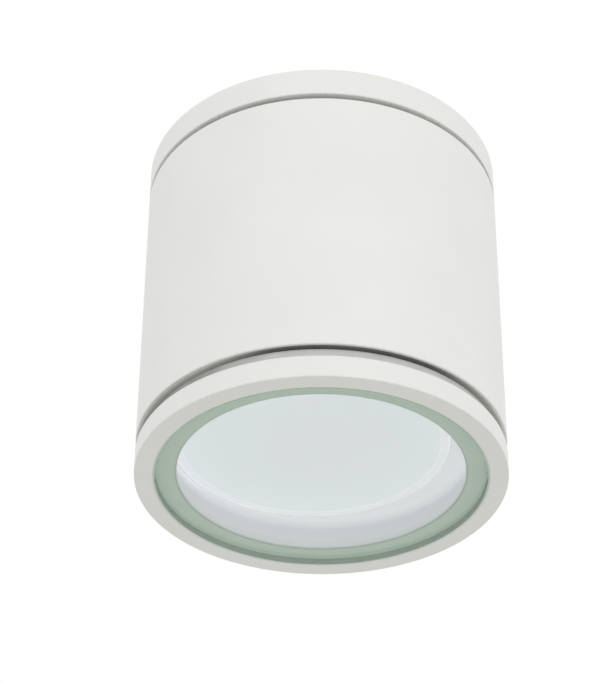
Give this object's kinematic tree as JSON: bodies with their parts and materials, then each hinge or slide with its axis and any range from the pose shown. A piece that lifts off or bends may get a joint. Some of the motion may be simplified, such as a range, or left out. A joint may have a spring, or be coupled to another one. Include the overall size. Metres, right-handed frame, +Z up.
{
  "type": "surface ceiling spotlight",
  "caption": "Cylindrical white ceiling spotlight with a round base, a screw-on front ring with flush glass and a twist-lock lamp behind it.",
  "frame": {"origin": "centre of the ceiling face, midway between the two fixing slots", "axes": "+Z up into the ceiling along the cylinder's axis, the light hangs along -Z; +X along the line of the fixing slots; the set screws are on the +Y side"},
  "size_m": [0.1, 0.1, 0.1023],
  "materials": {
    "white_paint": "satin white powder coat",
    "foam": "matt closed-cell foam",
    "black_rubber": "matt black rubber",
    "brass": "bright brass",
    "steel": "zinc plated steel",
    "zinc": "galvanised sheet steel",
    "holder_plastic": "ivory moulding",
    "clear_plastic": "milky moulding",
    "brown_wire": "brown insulation",
    "blue_wire": "blue insulation",
    "green_yellow_wire": "green and yellow insulation",
    "clear_glass": "clear toughened glass with a green edge",
    "grey_silicone": "grey silicone",
    "lamp_white": "satin white moulding",
    "lamp_diffuser": "frosted",
    "board_aluminium": "white faced aluminium board",
    "led_yellow": "phosphor",
    "driver_green": "circuit board"
  },
  "bodies": {
    "base": {"base_ring": "white_paint", "mounting_plate": "zinc", "plate_screws": "steel", "ceiling_gasket": "foam", "cable_grommet": "black_rubber", "spigot_seal": "black_rubber", "base_earth_screw": "brass", "base_earth_washer": "steel"},
    "housing": {"body_shell": "white_paint", "set_screws": "steel", "lamp_bracket": "zinc", "bracket_screws": "steel", "lamp_holder": "holder_plastic", "holder_contacts": "brass", "holder_screws": "steel", "lamp_reflector": "lamp_white", "terminal_block": "clear_plastic", "terminal_tubes": "brass", "terminal_screws": "steel", "block_screw": "steel", "push_connectors": "brass", "live_wire": "brown_wire", "neutral_wire": "blue_wire", "earth_wire": "green_yellow_wire", "earth_lug": "steel", "earth_washer": "steel", "earth_screw": "brass", "earth_nut": "steel"},
    "gasket": {"front_gasket": "black_rubber"},
    "front": {"front_ring": "white_paint", "front_glass": "clear_glass", "glass_bed": "grey_silicone", "glass_rim_seal": "grey_silicone"},
    "lamp": {"lamp_shell": "lamp_white", "lamp_lens": "lamp_diffuser", "lamp_cap": "lamp_white", "lamp_pins": "brass", "lamp_board": "board_aluminium", "lamp_leds": "led_yellow", "lamp_driver": "driver_green"}
  },
  "joints": [
    {"name": "body_slide", "type": "slide", "parent": "base", "child": "housing", "axis": [0, 0, -1], "range_m": [0, 0.012]},
    {"name": "ring_travel", "type": "slide", "parent": "housing", "child": "gasket", "axis": [0, 0, -1], "range_m": [0, 0.0075]},
    {"name": "ring_turn", "type": "hinge", "parent": "gasket", "child": "front", "pos_m": [0, 0, -0.095], "axis": [0, 0, -1], "range_deg": [0, 1080]},
    {"name": "lamp_twist", "type": "hinge", "parent": "housing", "child": "lamp", "pos_m": [-0.0028, 0, -0.075], "axis": [0, 0, -1], "range_deg": [0, 15]}
  ],
  "couplings": [
    {"joint": "ring_travel", "follows": "ring_turn", "m_per_rad": 0.00039789}
  ]
}
